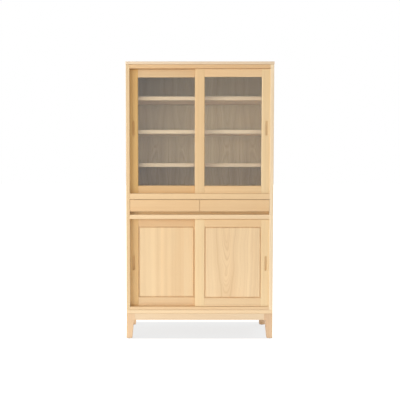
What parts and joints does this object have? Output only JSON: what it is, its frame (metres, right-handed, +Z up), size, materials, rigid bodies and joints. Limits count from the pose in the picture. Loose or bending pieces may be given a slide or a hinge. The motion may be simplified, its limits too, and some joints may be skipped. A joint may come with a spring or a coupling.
{
  "type": "kitchen cabinet",
  "caption": "Tall light-wood kitchen cupboard on a low leg frame, with sliding glass doors above, drawers over a finger gap and sliding panelled doors below.",
  "frame": {"origin": "centre of the outline on the floor, under the feet", "axes": "+Z up along the cabinet's height, +Y from the doors to the back, +X to the right as seen from the front"},
  "size_m": [1.004, 0.432, 1.883],
  "materials": {
    "carcass_wood": "satin oil on straight-grained ash",
    "door_wood": "satin oil on straight-grained ash",
    "panel_wood": "satin oil on paler, figured ash",
    "drawer_face_wood": "satin oil on ash, one board across both fronts",
    "inner_wood": "bare ash, matt",
    "back_ply": "plywood with a plain face, matt",
    "glass": "clear float glass",
    "steel": "zinc plated",
    "felt": "dense brown felt"
  },
  "bodies": {
    "cabinet": {"bottom_board": "carcass_wood", "drawer_bearer": "inner_wood", "drawer_deck": "inner_wood", "drawer_divider": "inner_wood", "drawer_runners": "inner_wood", "foot_glides": "felt", "frame_cleats": "inner_wood", "front_apron": "carcass_wood", "front_left_leg": "carcass_wood", "front_right_leg": "carcass_wood", "left_side_panel": "carcass_wood", "lower_back_panel": "back_ply", "lower_head_rail": "carcass_wood", "lower_shelf": "inner_wood", "lower_sill": "carcass_wood", "rear_apron": "carcass_wood", "rear_left_leg": "carcass_wood", "rear_right_leg": "carcass_wood", "right_side_panel": "carcass_wood", "screws": "steel", "shelf_pins": "steel", "side_aprons": "carcass_wood", "top_board": "carcass_wood", "upper_back_panel": "back_ply", "upper_floor": "inner_wood", "upper_head_rail": "carcass_wood", "upper_shelf_1": "inner_wood", "upper_shelf_2": "inner_wood", "upper_shelf_3": "inner_wood", "upper_sill": "carcass_wood"},
    "left_drawer": {"left_drawer_back": "inner_wood", "left_drawer_bottom": "inner_wood", "left_drawer_front": "drawer_face_wood", "left_drawer_sides": "inner_wood"},
    "lower_left_door": {"lower_left_door_bottom_rail": "door_wood", "lower_left_door_meeting_stile": "door_wood", "lower_left_door_outer_stile": "door_wood", "lower_left_door_panel": "panel_wood", "lower_left_door_top_rail": "door_wood"},
    "lower_right_door": {"lower_right_door_bottom_rail": "door_wood", "lower_right_door_meeting_stile": "door_wood", "lower_right_door_outer_stile": "door_wood", "lower_right_door_panel": "panel_wood", "lower_right_door_top_rail": "door_wood"},
    "right_drawer": {"right_drawer_back": "inner_wood", "right_drawer_bottom": "inner_wood", "right_drawer_front": "drawer_face_wood", "right_drawer_sides": "inner_wood"},
    "upper_left_door": {"upper_left_door_beads": "door_wood", "upper_left_door_bottom_rail": "door_wood", "upper_left_door_glass": "glass", "upper_left_door_meeting_stile": "door_wood", "upper_left_door_outer_stile": "door_wood", "upper_left_door_top_rail": "door_wood"},
    "upper_right_door": {"upper_right_door_beads": "door_wood", "upper_right_door_bottom_rail": "door_wood", "upper_right_door_glass": "glass", "upper_right_door_meeting_stile": "door_wood", "upper_right_door_outer_stile": "door_wood", "upper_right_door_top_rail": "door_wood"}
  },
  "joints": [
    {"name": "upper_left_door_slide", "type": "slide", "parent": "cabinet", "child": "upper_left_door", "axis": [1, 0, 0], "range_m": [0, 0.442]},
    {"name": "lower_left_door_slide", "type": "slide", "parent": "cabinet", "child": "lower_left_door", "axis": [1, 0, 0], "range_m": [0, 0.442]},
    {"name": "upper_right_door_slide", "type": "slide", "parent": "cabinet", "child": "upper_right_door", "axis": [-1, 0, 0], "range_m": [0, 0.442]},
    {"name": "lower_right_door_slide", "type": "slide", "parent": "cabinet", "child": "lower_right_door", "axis": [-1, 0, 0], "range_m": [0, 0.442]},
    {"name": "left_drawer_slide", "type": "slide", "parent": "cabinet", "child": "left_drawer", "axis": [0, -1, 0], "range_m": [0, 0.28]},
    {"name": "right_drawer_slide", "type": "slide", "parent": "cabinet", "child": "right_drawer", "axis": [0, -1, 0], "range_m": [0, 0.28]}
  ]
}
